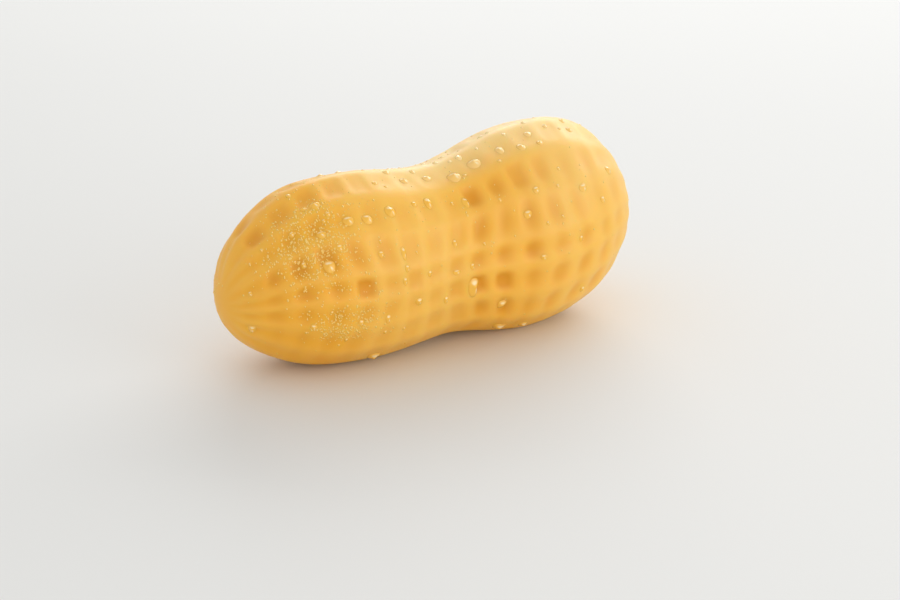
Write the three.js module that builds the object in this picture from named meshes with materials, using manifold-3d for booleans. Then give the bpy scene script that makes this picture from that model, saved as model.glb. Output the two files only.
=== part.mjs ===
// A peanut-shaped mousse cake: one moulded piece with two lobes, a waist, long ribs and rows of
// shallow dents between them, on a flat under each lobe. Millimetres, +Z up, +X along the length
// towards the large lobe, origin on the base plane under the middle of the cake.
import * as THREE from "three";
import { mergeVertices } from "three/addons/utils/BufferGeometryUtils.js";
import Module from "manifold-3d";

// ---- driving dimensions -------------------------------------------------------------------------
const LENGTH = 106;
const WIDTH_TO_HEIGHT = 0.91; // a cross-section is a little taller than it is wide

// A station is an angle of 0 to 180 degrees from the small tip to the large end. At a station the
// cake has the radius fullness * sin(station), which makes both ends round.
const FULLNESS = [29.8, 28.3, 27.2, 23.2, 19.8, 25.6, 29.8, 28.7, 21.3]; // one per 22.5 degrees
const AXIS_HEIGHT = [17.2, 20.5, 20.8, 23.5, 23.7]; // one per 45 degrees: the small tip droops
const AXIS_SIDE = [2.2, -1.3, 1.1]; // one per 90 degrees: the cake bends slightly sideways

// Ribs run from tip to tip, at these angles from the top, down one side and the same on the other.
const RIB_ANGLES = [0, 27, 51, 75, 91, 109, 131, 155, 180];
const RIB_HEIGHT = 0.3;
const RIBS_UNDERNEATH = 0.3; // share of their height that the ribs keep under the cake
const UNDERNEATH = [-0.9, -0.5]; // they lose the rest between these cosines of the angle
const TIP_FADE = [0.03, 0.4]; // ribs and crest rise from the tips between these sines of the station

// Cross ribs go round, and each cell between the ribs holds one dent. A ring of dents is a row of
// cells around the cake, and the rings are a little closer together at the waist.
const FIRST_RING = 20.4; // station, in degrees
const RING_PITCH = 8.1; // mean distance between rings, in degrees of station
const RING_CROWDING = 4.5; // degrees by which rings are drawn towards the waist
const DENT_DEPTH = 0.85;
const DENT_EDGES = [0.9, 1.4]; // reach of a dent's soft edge towards its middle, for the firmest and softest
const DENT_ROUNDING = 1.3; // above 1, a dent's middle is smaller and its edge is longer
const FAR_DEPTHS = [0.6, 1.2]; // each far dent is as deep as the near one, times a factor from this range

// Shallow grooves join the dents of each ring.
const GROOVE_DEPTH = 0.22;
const GROOVE_SIDES = [0.1, 0.6]; // they fade in down the sides between these squared sines of the angle
const GROOVE_START = [22, 38]; // they fade in between these stations
const GROOVE_END = [125, 150]; // and out between these

// A crest runs along the top.
const CREST_HEIGHT = 0.5;
const CREST_ANGLE = -2; // degrees from the top
const CREST_SPREAD = 12; // degrees

// How deep each dent is, in ninths of the depth: a line for each row of cells from the top down,
// and a figure for each ring from the small tip. The lobes' shoulders have the deep dents.
const DENTS = [
  "185642211164323210",
  "124632212895422210",
  "289963232664432210",
  "246983323589543210",
  "346532233896443210",
  "222321122665334210",
  "011111111222111100",
  "000000000000000000",
];

// Mesh: samples per cell, so that ribs and the middles of dents fall on vertices.
const PER_CELL = 4;
const POLE_GAP = 3; // degrees of station left to the fan of faces at each tip

const ROWS = DENTS.length;
const RINGS = DENTS[0].length;
const { degToRad, lerp, smoothstep } = THREE.MathUtils;

// A smooth curve through evenly spaced values, at a share from 0 to 1 of the way along them.
function through(values) {
  const points = values.map((v, i) => new THREE.Vector2(i, v));
  const curve = new THREE.SplineCurve(points);
  return (share) => curve.getPoint(share).y;
}

const fullness = through(FULLNESS);
const axisHeight = through(AXIS_HEIGHT);
const axisSide = through(AXIS_SIDE);

// Station of a ring of dents. Whole numbers are rings, and halves are the cross ribs between them.
function stationOf(ring) {
  const crowding = RING_CROWDING * Math.sin((2 * Math.PI * ring) / (RINGS - 1));
  return FIRST_RING + RING_PITCH * ring + crowding;
}

// Angle from the top, in degrees, of a rib. Whole numbers are ribs, and halves are rows of dents.
function angleOf(rib) {
  const down = rib < ROWS ? rib : 2 * ROWS - rib;
  const above = Math.min(Math.floor(down), ROWS - 1);
  const angle = lerp(RIB_ANGLES[above], RIB_ANGLES[above + 1], down - above);
  return rib < ROWS ? angle : 360 - angle;
}

// A repeatable number from 0 to 1 for one dent.
function vary(row, ring) {
  const n = Math.sin(row * 12.9898 + ring * 78.233) * 43758.5453;
  return n - Math.floor(n);
}

// How deep the dent of a cell is, from 0 to 1. The far side has the same rows, each dent changed.
function depthOf(row, ring) {
  if (ring < 0 || ring >= RINGS) return 0;
  const far = row >= ROWS;
  const depth = Number(DENTS[far ? 2 * ROWS - 1 - row : row][ring]) / 9;
  return far ? depth * lerp(...FAR_DEPTHS, vary(row, ring)) : depth;
}

// Depth of the dent of a cell at a place in it: nothing at the ribs around it, full over its middle.
function dentAt(rib, ring) {
  const row = Math.floor(rib) % (2 * ROWS);
  const nearest = Math.round(ring);
  const edge = lerp(...DENT_EDGES, vary(row, nearest));
  const across = smoothstep(Math.abs(Math.sin(Math.PI * rib)), 0, edge);
  const along = smoothstep(Math.abs(Math.cos(Math.PI * ring)), 0, edge);
  return DENT_DEPTH * depthOf(row, nearest) * (across * along) ** DENT_ROUNDING;
}

// The crest's height at an angle from the top.
function crestAt(angle) {
  const away = ((angle - CREST_ANGLE + 180) % 360) - 180;
  return CREST_HEIGHT * Math.exp(-((away / CREST_SPREAD) ** 2));
}

// A ring's groove, on the sides only and away from the cake's ends.
function grooveAt(ring, angle) {
  const station = stationOf(ring);
  const upright = smoothstep(Math.sin(degToRad(angle)) ** 2, ...GROOVE_SIDES);
  const ringed = smoothstep(station, ...GROOVE_START) * (1 - smoothstep(station, ...GROOVE_END));
  return GROOVE_DEPTH * Math.abs(Math.cos(Math.PI * ring)) ** 3 * upright * ringed;
}

// A rib's height at a place between two ribs.
function ribAt(rib) {
  const upper = smoothstep(Math.cos(degToRad(angleOf(rib))), ...UNDERNEATH);
  return RIB_HEIGHT * lerp(RIBS_UNDERNEATH, 1, upper) * Math.cos(Math.PI * rib) ** 2;
}

// Height of the surface pattern above the plain body: ribs and crest up, dents and grooves down.
function relief(rib, ring) {
  const angle = angleOf(rib);
  const tips = smoothstep(Math.sin(degToRad(stationOf(ring))), ...TIP_FADE);
  return tips * (ribAt(rib) + crestAt(angle)) - dentAt(rib, ring) - grooveAt(ring, angle);
}

// A point of the outer surface.
function surfacePoint(rib, ring) {
  const station = stationOf(ring);
  const share = station / 180;
  const radius = Math.sin(degToRad(station)) * fullness(share) + relief(rib, ring);
  const angle = degToRad(angleOf(rib));
  return new THREE.Vector3(
    (-LENGTH / 2) * Math.cos(degToRad(station)),
    axisSide(share) - radius * WIDTH_TO_HEIGHT * Math.sin(angle),
    axisHeight(share) + radius * Math.cos(angle),
  );
}

// The rings of vertices from tip to tip, also past the first and last dents.
function meshRings() {
  const rings = [];
  for (let k = -3 * PER_CELL; k <= (RINGS + 3) * PER_CELL; k++) {
    const station = stationOf(k / PER_CELL);
    if (station > POLE_GAP && station < 180 - POLE_GAP) rings.push(k / PER_CELL);
  }
  return rings;
}

// The closed surface: a grid of rings with a fan of triangles at each tip.
function bodyGeometry() {
  const rings = meshRings();
  const around = 2 * ROWS * PER_CELL;
  const points = [new THREE.Vector3(-LENGTH / 2, axisSide(0), axisHeight(0))];
  for (const ring of rings)
    for (let j = 0; j < around; j++) points.push(surfacePoint(j / PER_CELL, ring));
  points.push(new THREE.Vector3(LENGTH / 2, axisSide(1), axisHeight(1)));

  const last = points.length - 1;
  const at = (i, j) => 1 + i * around + (j % around);
  const faces = [];
  for (let j = 0; j < around; j++) {
    faces.push(0, at(0, j + 1), at(0, j));
    faces.push(last, at(rings.length - 1, j), at(rings.length - 1, j + 1));
    for (let i = 0; i + 1 < rings.length; i++) {
      faces.push(at(i, j), at(i, j + 1), at(i + 1, j));
      faces.push(at(i, j + 1), at(i + 1, j + 1), at(i + 1, j));
    }
  }
  return new THREE.BufferGeometry().setFromPoints(points).setIndex(faces);
}

// ---- booleans -----------------------------------------------------------------------------------
const wasm = await Module();
wasm.setup();

function solidOf(geometry) {
  const bare = geometry.clone();
  bare.deleteAttribute("normal");
  bare.deleteAttribute("uv");
  const merged = mergeVertices(bare);
  return new wasm.Manifold(
    new wasm.Mesh({
      numProp: 3,
      vertProperties: new Float32Array(merged.getAttribute("position").array),
      triVerts: new Uint32Array(merged.index.array),
    }),
  );
}

function geometryOf(solid) {
  const mesh = solid.getMesh();
  const geometry = new THREE.BufferGeometry();
  geometry.setAttribute("position", new THREE.BufferAttribute(mesh.vertProperties, 3));
  geometry.setIndex(new THREE.BufferAttribute(mesh.triVerts, 1));
  return geometry;
}

// Everything below z = 0 is cut away, which leaves the flats that the cake rests on.
function cutBase(solid) {
  const depth = 20;
  const below = new THREE.BoxGeometry(LENGTH * 1.2, LENGTH, depth);
  below.translate(0, 0, -depth / 2);
  return solid.subtract(solidOf(below));
}

// ---- the part -----------------------------------------------------------------------------------
function mousseMaterial() {
  return new THREE.MeshStandardMaterial({ color: 0xf0b850, roughness: 0.42, metalness: 0 });
}

// The bend moves the cake off centre, so its box is brought back over the origin.
function overOrigin(geometry) {
  geometry.computeBoundingBox();
  const middle = geometry.boundingBox.getCenter(new THREE.Vector3());
  return geometry.translate(-middle.x, -middle.y, 0);
}

const geometry = overOrigin(geometryOf(cutBase(solidOf(bodyGeometry()))));
geometry.computeVertexNormals();
const cake = new THREE.Mesh(geometry, mousseMaterial());
cake.name = "peanut_mousse";

const part = new THREE.Group();
part.add(cake);
export default part;
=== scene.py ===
"""A peanut-shaped mousse cake, fresh from the fridge: a satin golden coat over soft ribs and dents,
with drops of condensation. Metres, in the frame of the CAD part: +X towards the large lobe, +Z up."""

import math

import bpy
import numpy as np
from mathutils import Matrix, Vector, noise


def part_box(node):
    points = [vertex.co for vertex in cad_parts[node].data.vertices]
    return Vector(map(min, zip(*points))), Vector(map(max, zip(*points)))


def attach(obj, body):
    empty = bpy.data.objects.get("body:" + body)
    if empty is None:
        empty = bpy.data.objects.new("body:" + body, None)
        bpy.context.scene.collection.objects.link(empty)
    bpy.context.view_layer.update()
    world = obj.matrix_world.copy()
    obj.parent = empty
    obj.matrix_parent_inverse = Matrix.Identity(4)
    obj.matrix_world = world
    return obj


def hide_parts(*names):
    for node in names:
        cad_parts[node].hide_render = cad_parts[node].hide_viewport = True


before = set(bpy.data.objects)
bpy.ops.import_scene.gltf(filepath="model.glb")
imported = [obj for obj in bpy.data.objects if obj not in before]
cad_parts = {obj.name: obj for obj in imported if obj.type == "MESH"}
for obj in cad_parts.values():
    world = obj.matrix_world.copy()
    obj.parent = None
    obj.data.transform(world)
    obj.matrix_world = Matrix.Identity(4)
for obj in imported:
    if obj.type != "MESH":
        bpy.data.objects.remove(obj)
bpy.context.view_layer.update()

NODE = "peanut_mousse"
MM = 0.001

# ---- the cake's shape, as in the CAD part ---------------------------------------------------------
# Stations are 0 to 180 degrees from the small tip to the large end, and angles are degrees from the
# top, down the side at -Y. Radii and heights are in mm. Names and values are those of the CAD part:
# the body, its ribs, its dents, the grooves that join them round the cake, and the crest on top.
LENGTH = 106
WIDTH_TO_HEIGHT = 0.91
FULLNESS = (29.8, 28.3, 27.2, 23.2, 19.8, 25.6, 29.8, 28.7, 21.3)
AXIS_HEIGHT = (17.2, 20.5, 20.8, 23.5, 23.7)
AXIS_SIDE = (2.2, -1.3, 1.1)
RIB_ANGLES = (0, 27, 51, 75, 91, 109, 131, 155, 180)
RIB_HEIGHT = 0.3
RIBS_UNDERNEATH = 0.3
UNDERNEATH = (-0.9, -0.5)
TIP_FADE = (0.03, 0.4)
FIRST_RING = 20.4
RING_PITCH = 8.1
RING_CROWDING = 4.5
DENT_DEPTH = 0.85
DENT_EDGES = (0.9, 1.4)
DENT_ROUNDING = 1.3
FAR_DEPTHS = (0.6, 1.2)
GROOVE_DEPTH = 0.22
GROOVE_SIDES = (0.1, 0.6)
GROOVE_START = (22, 38)
GROOVE_END = (125, 150)
CREST_HEIGHT = 0.5
CREST_ANGLE = -2
CREST_SPREAD = 12
DENTS = (
    "185642211164323210",
    "124632212895422210",
    "289963232664432210",
    "246983323589543210",
    "346532233896443210",
    "222321122665334210",
    "011111111222111100",
    "000000000000000000",
)
ROWS, RINGS = len(DENTS), len(DENTS[0])

# ---- what the fine skin adds to that shape --------------------------------------------------------
WANDER = 1.5  # degrees by which the ribs and rings wander
RIB_WAVES = (7, 2)  # waves of the ribs' wandering in 360 degrees of station and of angle
RING_WAVES = (5, 4)  # and of the rings'
FLUTES = 1.0  # the ribs stand this share higher where they close up at the small tip
FLUTES_AT = 17  # degrees of station
FLUTES_SPREAD = 9
FINE_RIB_HEIGHT = 0.05  # mm, fine cross ribs at the waist, two to a ring
WAIST_AT = 76  # degrees of station
WAIST_SPREAD = 14

# The fine mesh: faces along, across and up each side of the box that is rounded into the cake.
GRID = (200, 84, 84)
LUMPS = 0.18  # mm, slow unevenness that the mould leaves
LUMP_SIZE = 9  # mm

# ---- drops of condensation ------------------------------------------------------------------------
# Station and angle of each drop, its width along the cake and its length down the side, in mm.
DROPS = (
    (50.5, 22, 2.4, 2.6), (47, 21, 1.5, 1.4), (70.5, 14, 1.4, 1.3), (79, 13, 2.2, 1.9),
    (85.5, 13, 2.3, 2.0), (92, 19, 3.4, 3.2), (98.5, 14.5, 3.4, 3.2), (106, 14, 2.0, 2.8),
    (111, 20, 2.1, 2.6), (116.5, 22, 1.6, 1.7), (57.5, 40, 2.6, 2.5), (63, 41.5, 2.7, 2.6),
    (70, 39, 2.9, 2.9), (77.5, 36, 1.5, 1.6), (81.5, 36, 1.9, 3.1), (91.5, 41, 2.1, 2.9),
    (48.5, 44, 2.2, 2.1), (40.5, 35, 1.4, 1.3), (138, 49, 2.2, 2.2), (109, 50, 1.6, 1.8),
    (115.5, 52, 1.0, 1.0), (99.5, 48, 0.9, 1.0), (118, 42, 1.0, 1.1), (48.5, 65.5, 2.8, 3.0),
    (64, 64.5, 1.5, 1.6), (70.2, 66, 1.4, 3.2), (70, 71, 0.9, 1.1), (85.5, 66.5, 1.2, 1.9),
    (105.5, 61.5, 2.1, 2.0), (64.5, 57, 0.8, 0.9), (110, 70, 0.9, 1.0), (123.5, 57, 2.2, 2.0),
    (115, 69, 0.9, 0.9), (69.5, 83, 1.2, 2.0), (77, 82, 1.4, 1.6), (85, 86, 2.1, 1.2),
    (89.5, 84.5, 1.4, 1.5), (120.5, 84.5, 1.4, 1.5), (90, 99, 3.2, 4.6), (82, 103, 1.3, 1.9),
    (65, 106, 1.4, 2.3), (57, 106, 1.3, 1.5), (99, 119, 2.3, 2.6), (65, 117, 0.9, 1.1),
    (70.5, 117, 0.9, 1.1), (66, 148, 3.2, 3.4), (102, 146, 3.2, 3.4), (109, 146, 2.4, 2.6),
    (124, 121, 1.4, 1.8),
)
DROP_STEEPNESS = 0.26  # height over width
DROP_SAG = 0.3  # a drop's lower half is longer by up to this share, and its upper half shorter
DROP_RIM = 0.02  # mm that a drop's rim stands above the skin
DROP_TOP = 0.03  # radius of the innermost ring of a drop, over the drop's own
DROP_GAP = 0.4  # mm between drops
SUNK = 0.12  # mm that a drop's underside lies below the skin
TIP_MARGIN = 0.5  # degrees of station that a drop's outline keeps from the tips
DROP_MESH = (9, 28)  # rings of a drop's dome, and points in each
MIST_MESH = (3, 8)
SEED = 7

# Scattered drops come in patches: their number, and the middle and spread of their stations and of
# their angles. Half of the small drops lie along the top, and most of the mist lies on the small
# lobe's near side.
SMALL_DROPS = ((65, (98, 26), (-8, 14)), (32, (90, 35), (-75, 35)), (32, (75, 30), (70, 35)))
SMALL_DROP_WIDTHS = (0.7, 1.9)  # mm
MIST = (
    (850, (46, 8), (48, 20)), (340, (53, 6), (105, 8)),
    (170, (90, 30), (60, 40)), (170, (70, 35), (-60, 40)),
)
MIST_WIDTHS = (0.25, 0.55)  # mm
END_STATIONS = (8, 172)  # no scattered drop has its middle past these
TALLNESS = (0.9, 1.3)  # a scattered drop's length down the side over its width along the cake

# Where a drop's colour has painted light, in shares of its half width: right is towards the large end,
# and low is down the side. It has a painted highlight spot low on the right, where light would focus
# through the water, and a painted highlight arc along its top, both lessened by a patch of painted shade
# towards the left.
SPOT_AT = (0.4, 0.5)
SPOT_SPREAD = 0.035  # squared
ARC_AT = 0.68
ARC_WIDTH = 0.16
ARC_SIDE = (0.25, 0.6)
ARC_STRENGTH = 0.8
PAINTED_SHADE_AT = -0.85
PAINTED_SHADE_SPREAD = 0.16  # squared

# Fog on the skin makes the coat paler, together with painted light that is fullest towards the bright
# large end, and these are their strengths at stations along the cake.
FOG_AND_LIGHT_STATIONS = (0, 25, 52, 62, 82, 92, 104, 116, 180)
FOG_AND_LIGHT = (0.25, 0.0, 0.05, 0.7, 1.0, 0.4, 0.35, 0.9, 1.0)

# A painted reflection of the bright window makes the coat paler along the top, and thinly over the large
# lobe's shoulder.
REFLECTION_ANGLE = -20  # where it is fullest
REFLECTION_EDGE = (0.62, 0.98)  # how squarely the skin faces that way where the painted reflection starts and is full
REFLECTION_START = (45, 95)  # stations
REFLECTION_STRENGTH = 0.66
SHOULDER_EDGE = (0.1, 0.75)  # how squarely the skin faces up, likewise
SHOULDER_START = (95, 130)
SHOULDER_STRENGTH = 0.24


def through(values, share):
    """A smooth curve through evenly spaced values, at shares from 0 to 1 of the way along them."""
    v = np.asarray(values, float)
    last = len(v) - 1
    place = np.clip(share, 0, 1) * last
    i = np.minimum(place.astype(int), last - 1)
    w = place - i
    before, a, b, after = v[np.maximum(i - 1, 0)], v[i], v[i + 1], v[np.minimum(i + 2, last)]
    da, db = (b - before) / 2, (after - a) / 2
    return (2 * a - 2 * b + da + db) * w**3 + (3 * b - 3 * a - 2 * da - db) * w**2 + da * w + a


def smoothstep(x, low, high):
    """Rises smoothly from 0 at low to 1 at high."""
    s = np.clip((x - low) / (high - low), 0, 1)
    return s * s * (3 - 2 * s)


def lerp(ends, share):
    """The value at a share of the way between two ends."""
    return ends[0] + (ends[1] - ends[0]) * share


def vary(row, ring):
    """A repeatable number from 0 to 1 for one dent."""
    n = np.sin(row * 12.9898 + ring * 78.233) * 43758.5453
    return n - np.floor(n)


def ring_of(station):
    """The place of a station among the rings of dents: whole numbers are rings."""
    ring = np.linspace(-8, RINGS + 7, 1000)
    crowding = RING_CROWDING * np.sin(2 * np.pi * ring / (RINGS - 1))
    return np.interp(station, FIRST_RING + RING_PITCH * ring + crowding, ring)


def rib_of(angle):
    """The place of an angle from the top among the ribs: whole numbers are ribs."""
    down = np.asarray(angle) % 360
    rib = np.interp(np.minimum(down, 360 - down), RIB_ANGLES, np.arange(ROWS + 1))
    return np.where(down <= 180, rib, 2 * ROWS - rib)


def depth_of(row, ring):
    """How deep the dent of a cell is, from 0 to 1, with the far side's changed as in the CAD part."""
    near = np.array([[int(figure) / 9 for figure in line] for line in DENTS])
    far = near[::-1] * lerp(FAR_DEPTHS, vary(*np.mgrid[ROWS : 2 * ROWS, 0:RINGS]))
    depths = np.pad(np.concatenate([near, far]), ((0, 0), (1, 1)))
    return depths[row % (2 * ROWS), np.clip(ring, -1, RINGS) + 1]


def relief(station, angle):
    """Height in mm of the ribs and crest, and depth in mm of the dents and grooves."""
    cosine, sine = np.cos(np.radians(angle)), np.sin(np.radians(angle))
    rib = rib_of(angle + WANDER * np.sin(np.radians(RIB_WAVES[0] * station + RIB_WAVES[1] * angle)))
    around = np.cos(np.radians(RING_WAVES[1] * angle))
    ring = ring_of(station + WANDER * around * np.sin(np.radians(RING_WAVES[0] * station)))
    between_ribs, on_ring = np.abs(np.sin(np.pi * rib)), np.abs(np.cos(np.pi * ring))

    tips = smoothstep(np.sin(np.radians(station)), *TIP_FADE)
    flutes = 1 + FLUTES * np.exp(-(((station - FLUTES_AT) / FLUTES_SPREAD) ** 2))
    upper = lerp((RIBS_UNDERNEATH, 1), smoothstep(cosine, *UNDERNEATH))
    ribs = RIB_HEIGHT * flutes * upper * (1 - between_ribs**2)
    off_crest = (np.asarray(angle) - CREST_ANGLE + 180) % 360 - 180
    crest = CREST_HEIGHT * np.exp(-((off_crest / CREST_SPREAD) ** 2))

    row, nearest = np.floor(rib).astype(int), np.round(ring).astype(int)
    edge = lerp(DENT_EDGES, vary(row, nearest))
    inside = smoothstep(between_ribs, 0, edge) * smoothstep(on_ring, 0, edge)
    dents = DENT_DEPTH * depth_of(row, nearest) * inside**DENT_ROUNDING
    ringed = smoothstep(station, *GROOVE_START) * (1 - smoothstep(station, *GROOVE_END))
    waist = np.exp(-(((station - WAIST_AT) / WAIST_SPREAD) ** 2))
    fine = FINE_RIB_HEIGHT * waist * np.cos(4 * np.pi * ring)
    grooves = (GROOVE_DEPTH * on_ring**3 - fine) * smoothstep(sine**2, *GROOVE_SIDES) * ringed
    return tips * (ribs + crest), dents + grooves


def surface(station, angle, proud=0.0):
    """Points of the cake's skin, raised by proud mm, before it is set on its base."""
    s, a, share = np.radians(station), np.radians(angle), station / 180
    ridge, dent = relief(station, angle)
    radius = np.sin(s) * through(FULLNESS, share) + ridge - dent + proud
    x = -LENGTH * MM / 2 * np.cos(s)
    y = through(AXIS_SIDE, share) - radius * WIDTH_TO_HEIGHT * np.sin(a)
    z = through(AXIS_HEIGHT, share) + radius * np.cos(a)
    return np.stack([x, y * MM, z * MM], -1)


def lumpy_surface(station, angle):
    """Points of the skin with the slow unevenness that the mould leaves."""
    plain = surface(station, angle)
    places = plain.reshape(-1, 3) / (LUMP_SIZE * MM)
    lumps = np.array([noise.noise(Vector(place)) for place in places]).reshape(plain.shape[:-1])
    return surface(station, angle, LUMPS * lumps * np.sqrt(np.sin(np.radians(station))))


# ---- meshes ---------------------------------------------------------------------------------------
def sphere_grid(counts):
    """A box's six gridded sides rounded into a unit sphere, which has no poles: points and faces."""
    points, faces, start = [], [], 0
    for axis in range(3):
        u_axis, v_axis = (axis + 1) % 3, (axis + 2) % 3
        nu, nv = counts[u_axis], counts[v_axis]
        u, v = np.meshgrid(np.linspace(-1, 1, nu + 1), np.linspace(-1, 1, nv + 1), indexing="ij")
        corner = (np.arange(nu)[:, None] * (nv + 1) + np.arange(nv)[None]).ravel()
        quad = np.stack([corner, corner + nv + 1, corner + nv + 2, corner + 1], -1)
        for side in (-1, 1):
            side_points = np.empty((u.size, 3))
            side_points[:, axis] = side
            side_points[:, u_axis] = np.tan(math.pi / 4 * u).ravel()
            side_points[:, v_axis] = np.tan(math.pi / 4 * v).ravel()
            points.append(side_points)
            faces.append((quad if side > 0 else quad[:, ::-1]) + start)
            start += u.size
    points = np.concatenate(points)
    points /= np.linalg.norm(points, axis=1, keepdims=True)
    _, first, merged = np.unique(points.round(7), axis=0, return_index=True, return_inverse=True)
    return points[first], merged.ravel()[np.concatenate(faces)]


def mesh_piece(name, points, faces, material, smooth=True):
    """A Blender object from points and faces."""
    mesh = bpy.data.meshes.new(name)
    mesh.from_pydata(points.tolist(), [], faces)
    mesh.validate()
    mesh.polygons.foreach_set("use_smooth", [smooth] * len(mesh.polygons))
    mesh.materials.append(material)
    piece = bpy.data.objects.new(name, mesh)
    bpy.context.scene.collection.objects.link(piece)
    return piece


def add_layer(piece, name, values):
    """A number for each point of a piece, which its material reads by name."""
    layer = piece.data.attributes.new(name, "FLOAT", "POINT")
    layer.data.foreach_set("value", np.ravel(values).astype(np.float32))


def onto_base(points, shift):
    """Moves points of the skin to where the CAD part has them, and flattens what is under it."""
    placed = points + shift
    placed[:, 2] = np.maximum(placed[:, 2], 0)
    return placed


def cake_shift():
    """The CAD part has its box centred over the origin, so the bend is taken out here as it is there."""
    low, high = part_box(NODE)
    station, angle = np.meshgrid(np.linspace(0, 180, 721), np.linspace(0, 360, 721))
    skin = surface(station, angle).reshape(-1, 3)
    middle = (skin.min(0) + skin.max(0)) / 2
    return np.array([(low.x + high.x) / 2 - middle[0], (low.y + high.y) / 2 - middle[1], 0])


def window_reflection_at(station, angle):
    """How much painted reflection of the window lies on the skin, from 0 to 1."""
    upright = np.sqrt(np.sin(np.radians(station)))
    window_reflection = smoothstep(np.cos(np.radians(angle - REFLECTION_ANGLE)) * upright, *REFLECTION_EDGE)
    shoulder = smoothstep(np.cos(np.radians(angle)) * upright, *SHOULDER_EDGE)
    window_reflection = REFLECTION_STRENGTH * window_reflection * smoothstep(station, *REFLECTION_START)
    shoulder = SHOULDER_STRENGTH * shoulder * smoothstep(station, *SHOULDER_START)
    return window_reflection + shoulder * (1 - window_reflection)


def build_cake(shift):
    """The cake's fine skin, which stands for the CAD solid."""
    directions, faces = sphere_grid(GRID)
    station = np.degrees(np.arccos(np.clip(-directions[:, 0], -1, 1)))
    angle = np.degrees(np.arctan2(-directions[:, 1], directions[:, 2])) % 360
    points = onto_base(lumpy_surface(station, angle), shift)
    piece = mesh_piece("mousse", points, faces.tolist(), mousse_material())
    ridge, dent = relief(station, angle)
    # The dent layer carries painted shade into the dents.
    add_layer(piece, "dent", np.maximum(dent / DENT_DEPTH, 0))
    # The ridge layer carries a painted highlight onto the ribs.
    add_layer(piece, "ridge", ridge / RIB_HEIGHT)
    # The fog layer carries fog and painted light towards the large end.
    add_layer(piece, "fog_and_light", np.interp(station, FOG_AND_LIGHT_STATIONS, FOG_AND_LIGHT))
    # This layer carries the painted reflection of the window along the top.
    add_layer(piece, "window_reflection", window_reflection_at(station, angle))
    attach(piece, "root")
    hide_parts(NODE)


# ---- drops ----------------------------------------------------------------------------------------
def unit(v):
    """Vectors made one long."""
    return v / np.linalg.norm(v, axis=-1, keepdims=True)


def painted_light_at(right, low, out):
    """Painted light on a drop: 1 at its painted highlights, and 0 or less where it has none or painted
    shade.
    """
    spot = np.exp(-((right - SPOT_AT[0]) ** 2 + (low - SPOT_AT[1]) ** 2) / SPOT_SPREAD)
    arc = np.exp(-(((out - ARC_AT) / ARC_WIDTH) ** 2)) * smoothstep(-low, *ARC_SIDE)
    painted_shade = np.exp(-((right - PAINTED_SHADE_AT) ** 2 + low**2) / PAINTED_SHADE_SPREAD)
    return np.maximum(spot, ARC_STRENGTH * arc) - painted_shade


def drop_points(drops, rings, segments):
    """Closed domes on the skin, as drops by rings by segments, and their painted light. Each drop's
    rings run from its top over its rim to the middle of its underside, which lies just below the skin."""
    station, angle, along, down = np.asarray(drops, float).T[:, :, None, None]
    step = 0.05  # degrees, for the slopes of the skin
    here = surface(station, angle)
    per_station = (surface(station + step, angle) - here) / (step * MM)
    per_angle = (surface(station, angle + step) - here) / (step * MM)
    turn = 2 * np.pi * np.arange(segments) / segments
    out = np.linspace(DROP_TOP, 1, rings)[:, None]
    right = out * np.cos(turn)
    low = out * np.sin(turn) * np.where(np.sin(np.radians(angle)) < 0, -1, 1)
    # A tall drop is fuller below, because its water sags.
    sag = 1 + DROP_SAG * down / (along + down) * low
    stations = station + along / 2 * right / np.linalg.norm(per_station, axis=-1)
    angles = angle + down / 2 * out * np.sin(turn) * sag / np.linalg.norm(per_angle, axis=-1)
    skin = lumpy_surface(np.clip(stations, TIP_MARGIN, 180 - TIP_MARGIN), angles)
    rim = skin[:, -1:]
    base = rim * out[..., None] ** 2 + rim.mean(2, keepdims=True) * (1 - out[..., None] ** 2)
    normal = unit(np.cross(per_angle, per_station))
    height = DROP_STEEPNESS * np.minimum(along, down) * (1 - out**2) + DROP_RIM
    dome = base + normal * height[..., None] * MM
    under = skin - normal * SUNK * MM
    painted_light = painted_light_at(right, low, out)
    return np.concatenate([dome, under[:, ::-1]], 1), np.concatenate([painted_light, painted_light[:, ::-1]], 1)


def tube_faces(rows, segments):
    """Faces between rows of points, with the first and the last row closed."""
    i, j = np.meshgrid(np.arange(rows - 1), np.arange(segments), indexing="ij")
    corner, beside = i * segments + j, i * segments + (j + 1) % segments
    quads = np.stack([corner, beside, beside + segments, corner + segments], -1).reshape(-1, 4)
    first = list(range(segments))
    return quads.tolist(), [first[::-1], [k + (rows - 1) * segments for k in first]]


def build_drops(name, drops, rings, segments, shift, material):
    """Drops as one piece. Its material reads how much painted reflection lies under each."""
    points, painted_light = drop_points(drops, rings, segments)
    count, rows = points.shape[:2]
    quads, caps = tube_faces(rows, segments)
    faces = [[k + n * rows * segments for k in face] for n in range(count) for face in quads + caps]
    piece = mesh_piece(name, onto_base(points.reshape(-1, 3), shift), faces, material)
    add_layer(piece, "painted_light", painted_light)
    add_layer(piece, "window_reflection", np.repeat(window_reflection_at(drops[:, 0], drops[:, 1]), rows * segments))
    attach(piece, "root")


def apart(places, gap):
    """Leaves out every drop within gap mm of one before it. Places are station, angle, along, down."""
    kept = []
    middles = surface(places[:, 0], places[:, 1]) / MM
    for n, (middle, place) in enumerate(zip(middles, places)):
        reach = [np.linalg.norm(middle - middles[k]) - (place[3] + places[k, 3]) / 2 for k in kept]
        if not reach or min(reach) > gap:
            kept.append(n)
    return places[kept]


def scatter(random, patches, widths):
    """Drops spread around the middle station and angle of each patch."""
    drops = []
    for count, station, angle in patches:
        width = widths[0] + (widths[1] - widths[0]) * random.random(count) ** 2
        tall = width * random.uniform(*TALLNESS, count)
        stations = np.clip(random.normal(*station, count), *END_STATIONS)
        drops.append(np.stack([stations, random.normal(*angle, count), width, tall], -1))
    return np.concatenate(drops)


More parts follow.
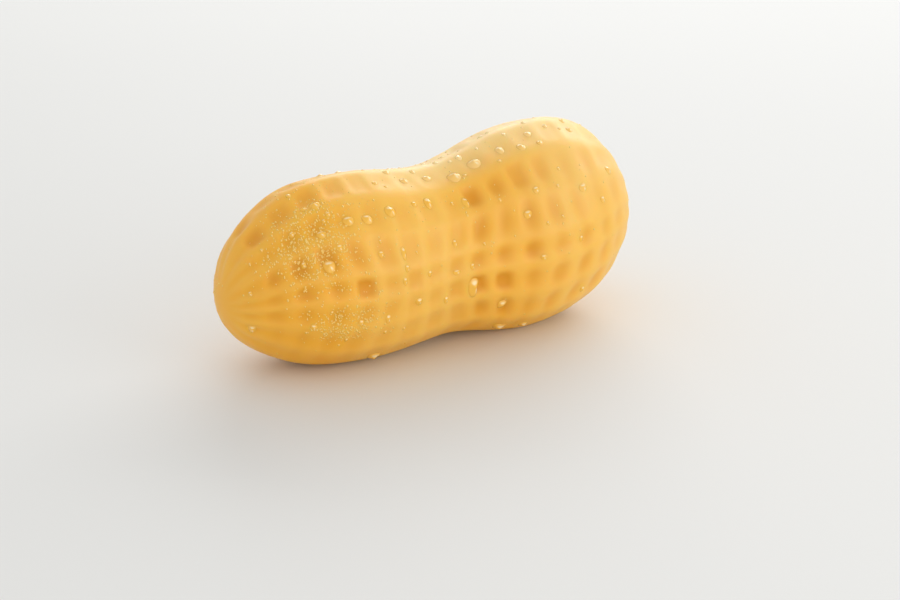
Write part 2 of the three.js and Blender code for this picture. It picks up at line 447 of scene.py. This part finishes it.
def all_drops(random):
    """The large drops, and small ones scattered between them."""
    small = scatter(random, SMALL_DROPS, SMALL_DROP_WIDTHS)
    return apart(np.concatenate([np.array(DROPS, float), small]), DROP_GAP)


# ---- materials ------------------------------------------------------------------------------------
COAT = (0.92, 0.445, 0.022, 1)
# Paler coat: partly fog, partly painted light towards the bright large end.
COAT_IN_FOG_AND_LIGHT = (0.95, 0.535, 0.088, 1)
# Painted highlight: the coat is paler on the raised ribs, where they catch the light.
COAT_LIT_ON_RIBS = (0.95, 0.57, 0.11, 1)
RIB_HIGHLIGHT_SHARE = 0.25  # how far a full rib takes that colour
# Painted shade: the coat is darker and deeper orange in the dents, where shade falls.
COAT_SHADED_IN_DENTS = (0.78, 0.325, 0.005, 1)
DENT_SHADE_CONTRAST = 1.3  # above 1, only the deeper dents take that colour
# Painted reflection: the coat is paler where the skin faces the bright window above and behind.
COAT_IN_WINDOW_REFLECTION = (0.98, 0.73, 0.35, 1)
REFLECTION_PATCHES = (0.65, 1.25)  # the painted reflection is uneven by these factors
BLOTCHES = (0.95, 1.05)  # and the coat by these
COAT_ROUGHNESS = (0.36, 0.5)
WATER = (0.92, 0.50, 0.065, 1)
# Paler than the coat: painted glints on the fine drops of mist.
FINE_WATER_GLINTING = (0.96, 0.62, 0.15, 1)
# Painted highlight on the drops, where they would gather the light.
PAINTED_WATER_HIGHLIGHT = (1.0, 0.88, 0.56, 1)
# Painted reflection of the window, as on the coat, for drops that lie in it.
WATER_IN_WINDOW_REFLECTION = (0.98, 0.78, 0.42, 1)
FLOOR_TONES = ((0.74, 0.74, 0.73, 1), (0.77, 0.77, 0.76, 1))


class Nodes:
    """Short ways to add and link the nodes of one material."""

    def __init__(self, name):
        self.material = bpy.data.materials.new(name)
        self.material.use_nodes = True
        self.tree = self.material.node_tree
        self.shader = self.tree.nodes["Principled BSDF"]

    def add(self, kind, **settings):
        """A new node. Settings are for its inputs by name, and otherwise for the node itself."""
        node = self.tree.nodes.new("ShaderNode" + kind)
        for key, value in settings.items():
            if key in node.inputs:
                self.feed(node.inputs[key], value)
            else:
                setattr(node, key, value)
        return node

    def feed(self, socket, value):
        """Links an output to a socket, or gives the socket a plain value."""
        if isinstance(value, bpy.types.NodeSocket):
            self.tree.links.new(value, socket)
        else:
            socket.default_value = value

    def set(self, **inputs):
        """Sets or links inputs of the shader, with _ for a space in their names."""
        for key, value in inputs.items():
            self.feed(self.shader.inputs[key.replace("_", " ")], value)

    def noise(self, size, detail=2.0):
        """Noise with features about size metres across."""
        place = self.add("TexCoord").outputs["Object"]
        return self.add("TexNoise", Vector=place, Scale=1 / size, Detail=detail).outputs["Fac"]

    def layer(self, name):
        """A number that add_layer gave the points of a piece."""
        return self.add("Attribute", attribute_name=name).outputs["Fac"]

    def mix(self, share, a, b, blend="MIX"):
        """Colour a where share is 0 and b where it is 1."""
        node = self.add("Mix", data_type="RGBA", blend_type=blend)
        self.feed(node.inputs[0], share)
        self.feed(node.inputs[6], a)
        self.feed(node.inputs[7], b)
        return node.outputs[2]

    def math(self, operation, a, b):
        node = self.add("Math", operation=operation)
        self.feed(node.inputs[0], a)
        self.feed(node.inputs[1], b)
        return node.outputs[0]

    def to_range(self, value, low, high):
        """Takes 0 to 1 to low to high, and values past 0 or 1 no further than these."""
        node = self.add("MapRange", Value=value)
        node.inputs["To Min"].default_value = low
        node.inputs["To Max"].default_value = high
        return node.outputs["Result"]


def mousse_material():
    """A golden coat with painted shade in the dents and a painted highlight on the ribs, paler under fog
    and painted light towards the large end and under a painted reflection of the window along the top,
    satin and faintly translucent.
    """
    n = Nodes("mousse")
    # partly fog, partly painted light towards the large end
    fogged_and_lit = n.mix(n.layer("fog_and_light"), COAT, COAT_IN_FOG_AND_LIGHT)
    # painted highlight on the ribs
    rib_lit = n.mix(n.to_range(n.layer("ridge"), 0.0, RIB_HIGHLIGHT_SHARE), fogged_and_lit, COAT_LIT_ON_RIBS)
    # painted shade in the dents
    dent_shaded = n.mix(n.math("POWER", n.layer("dent"), DENT_SHADE_CONTRAST), rib_lit, COAT_SHADED_IN_DENTS)
    blotches = n.to_range(n.noise(0.018), *BLOTCHES)
    shaded = n.mix(1.0, dent_shaded, blotches, "MULTIPLY")
    # painted reflection of the window along the top
    patchy_reflection = n.math("MULTIPLY", n.layer("window_reflection"), n.to_range(n.noise(0.009, 3), *REFLECTION_PATCHES))
    n.set(Base_Color=n.mix(patchy_reflection, shaded, COAT_IN_WINDOW_REFLECTION))
    n.set(Roughness=n.to_range(n.noise(0.004, 4), *COAT_ROUGHNESS))
    n.set(Subsurface_Weight=0.5, Subsurface_Radius=(1.0, 0.5, 0.15), Subsurface_Scale=0.0015)
    grain = n.add("Bump", Height=n.noise(0.0006, 3), Strength=0.12, Distance=0.0001)
    n.set(Normal=grain.outputs["Normal"])
    return n.material


def water_material(name, colour):
    """Clear water takes the colour of the coat and its painted reflection under it, so a drop is given
    that colour, with painted highlights where it would gather the light and painted shade towards its
    left."""
    n = Nodes(name)
    plain = n.mix(n.layer("window_reflection"), colour, WATER_IN_WINDOW_REFLECTION)
    # painted highlights and painted shade on the drop
    n.set(Base_Color=n.mix(n.layer("painted_light"), plain, PAINTED_WATER_HIGHLIGHT), Roughness=0.08, IOR=1.45)
    return n.material


def floor_material():
    """A plain pale floor with very faint broad tones."""
    n = Nodes("floor")
    n.set(Base_Color=n.mix(n.noise(0.4), *FLOOR_TONES), Roughness=0.7)
    return n.material


# ---- stage, lights and camera ---------------------------------------------------------------------
FLOOR_HALF = 6.0
WORLD_COLOUR = (1.0, 1.0, 0.985, 1)
WORLD_STRENGTH = 0.78
VIEW_AZIMUTH = math.radians(-31.4)  # 0 looks along +Y
VIEW_ELEVATION = math.radians(22.1)
VIEW_DISTANCE = 0.52
LOOK_AT = Vector((-0.0157, -0.0335, 0.023))  # in front of the cake, towards its small end
LENS = 96.5

# Each light's azimuth from the camera's side and its elevation, in degrees, its distance, width and
# height, in metres, and its power in watts.
LIGHTS = {
    "window": (162, 27, 1.2, 1.3, 0.5, 7),
    "side_fill": (60, 18, 0.6, 0.4, 0.4, 0.7),
    "low_fill": (10, 8, 0.8, 0.6, 0.2, 0.5),
}


def from_angles(azimuth, elevation):
    """The direction that a camera at this azimuth and elevation looks in."""
    level = math.cos(elevation)
    return Vector((-math.sin(azimuth) * level, math.cos(azimuth) * level, -math.sin(elevation)))


def aim(thing, place, target):
    """Puts a camera or light at a place, turned towards a target."""
    thing.location = place
    thing.rotation_euler = (target - place).to_track_quat("-Z", "Y").to_euler()
    bpy.context.scene.collection.objects.link(thing)


def add_camera():
    camera = bpy.data.objects.new("camera", bpy.data.cameras.new("camera"))
    camera.data.lens = LENS
    camera.data.clip_start = 0.01
    looking = from_angles(VIEW_AZIMUTH, VIEW_ELEVATION)
    aim(camera, LOOK_AT - looking * VIEW_DISTANCE, LOOK_AT)
    bpy.context.scene.camera = camera


def add_light(name, azimuth, elevation, distance, width, height, power):
    """A soft light, seen from the cake at an azimuth from the camera's side and an elevation."""
    light = bpy.data.lights.new(name, "AREA")
    light.shape = "RECTANGLE"
    light.size = width
    light.size_y = height
    light.energy = power
    away = from_angles(VIEW_AZIMUTH + math.radians(azimuth), math.radians(elevation))
    aim(bpy.data.objects.new(name, light), -away * distance, Vector((0, 0, 0.02)))


def add_lights():
    for name, numbers in LIGHTS.items():
        add_light(name, *numbers)
    world = bpy.data.worlds.new("studio")
    world.use_nodes = True
    background = world.node_tree.nodes["Background"]
    background.inputs["Color"].default_value = WORLD_COLOUR
    background.inputs["Strength"].default_value = WORLD_STRENGTH
    bpy.context.scene.world = world
    bpy.context.scene.view_settings.view_transform = "Standard"


def add_floor():
    corners = ((-1, -1, 0), (1, -1, 0), (1, 1, 0), (-1, 1, 0))
    points = FLOOR_HALF * np.array(corners, float)
    mesh_piece("floor", points, [[0, 1, 2, 3]], floor_material(), smooth=False)


shift = cake_shift()
build_cake(shift)
random = np.random.default_rng(SEED)
water = water_material("drops", WATER)
build_drops("drops", all_drops(random), *DROP_MESH, shift, water)
fine_water = water_material("mist", FINE_WATER_GLINTING)
build_drops("mist", scatter(random, MIST, MIST_WIDTHS), *MIST_MESH, shift, fine_water)
add_floor()
add_lights()
add_camera()
